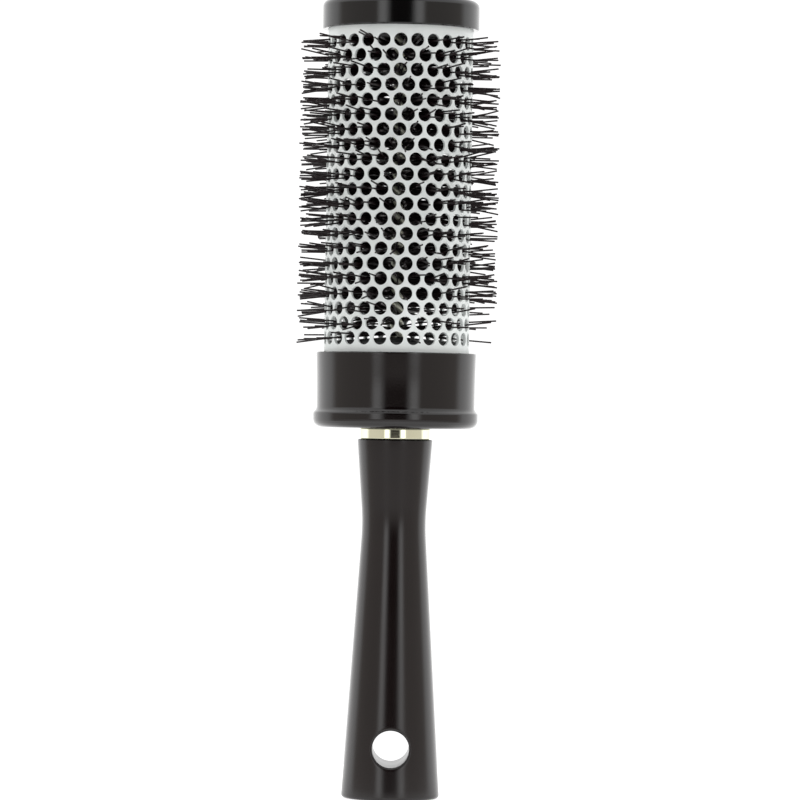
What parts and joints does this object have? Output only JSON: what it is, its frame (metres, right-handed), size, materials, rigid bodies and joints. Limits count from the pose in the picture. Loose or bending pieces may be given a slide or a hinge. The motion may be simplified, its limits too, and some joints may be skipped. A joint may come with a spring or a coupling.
{
  "type": "round barrel brush",
  "caption": "Round salon brush with a perforated ceramic-coated barrel, nylon bristles on a twisted wire core, and a tapered handle.",
  "frame": {"origin": "middle of the handle's flat end face", "axes": "+Z along the brush axis to the tip, -Y towards the front, with the hang hole's axis along Y"},
  "size_m": [0.0604, 0.0604, 0.24],
  "materials": {
    "black_moulding": "satin",
    "ceramic_coated_barrel": "matte",
    "galvanised_steel": "satin",
    "nylon_bristle": "satin",
    "bright_ring": "polished",
    "handle_core_moulding": "matte",
    "satin_grip": "satin"
  },
  "bodies": {
    "root": {"end_cap": "black_moulding", "tip_plug": "black_moulding", "tip_sleeve": "galvanised_steel", "barrel_tube": "ceramic_coated_barrel", "core_wire_a": "galvanised_steel", "core_wire_b": "galvanised_steel", "bristle_roots": "nylon_bristle", "bristle_row_01": "nylon_bristle", "bristle_row_02": "nylon_bristle", "bristle_row_03": "nylon_bristle", "bristle_row_04": "nylon_bristle", "bristle_row_05": "nylon_bristle", "bristle_row_06": "nylon_bristle", "bristle_row_07": "nylon_bristle", "bristle_row_08": "nylon_bristle", "bristle_row_09": "nylon_bristle", "bristle_row_10": "nylon_bristle", "bristle_row_11": "nylon_bristle", "bristle_row_12": "nylon_bristle", "bristle_row_13": "nylon_bristle", "bristle_row_14": "nylon_bristle", "bristle_row_15": "nylon_bristle", "bristle_row_16": "nylon_bristle", "bristle_row_17": "nylon_bristle", "bristle_row_18": "nylon_bristle", "bristle_row_19": "nylon_bristle", "bristle_row_20": "nylon_bristle", "bristle_row_21": "nylon_bristle", "barrel_plug": "black_moulding", "collar": "black_moulding", "neck_ring": "bright_ring", "stem_sleeve": "galvanised_steel", "handle_core": "handle_core_moulding", "handle_grip": "satin_grip"}
  },
  "joints": []
}
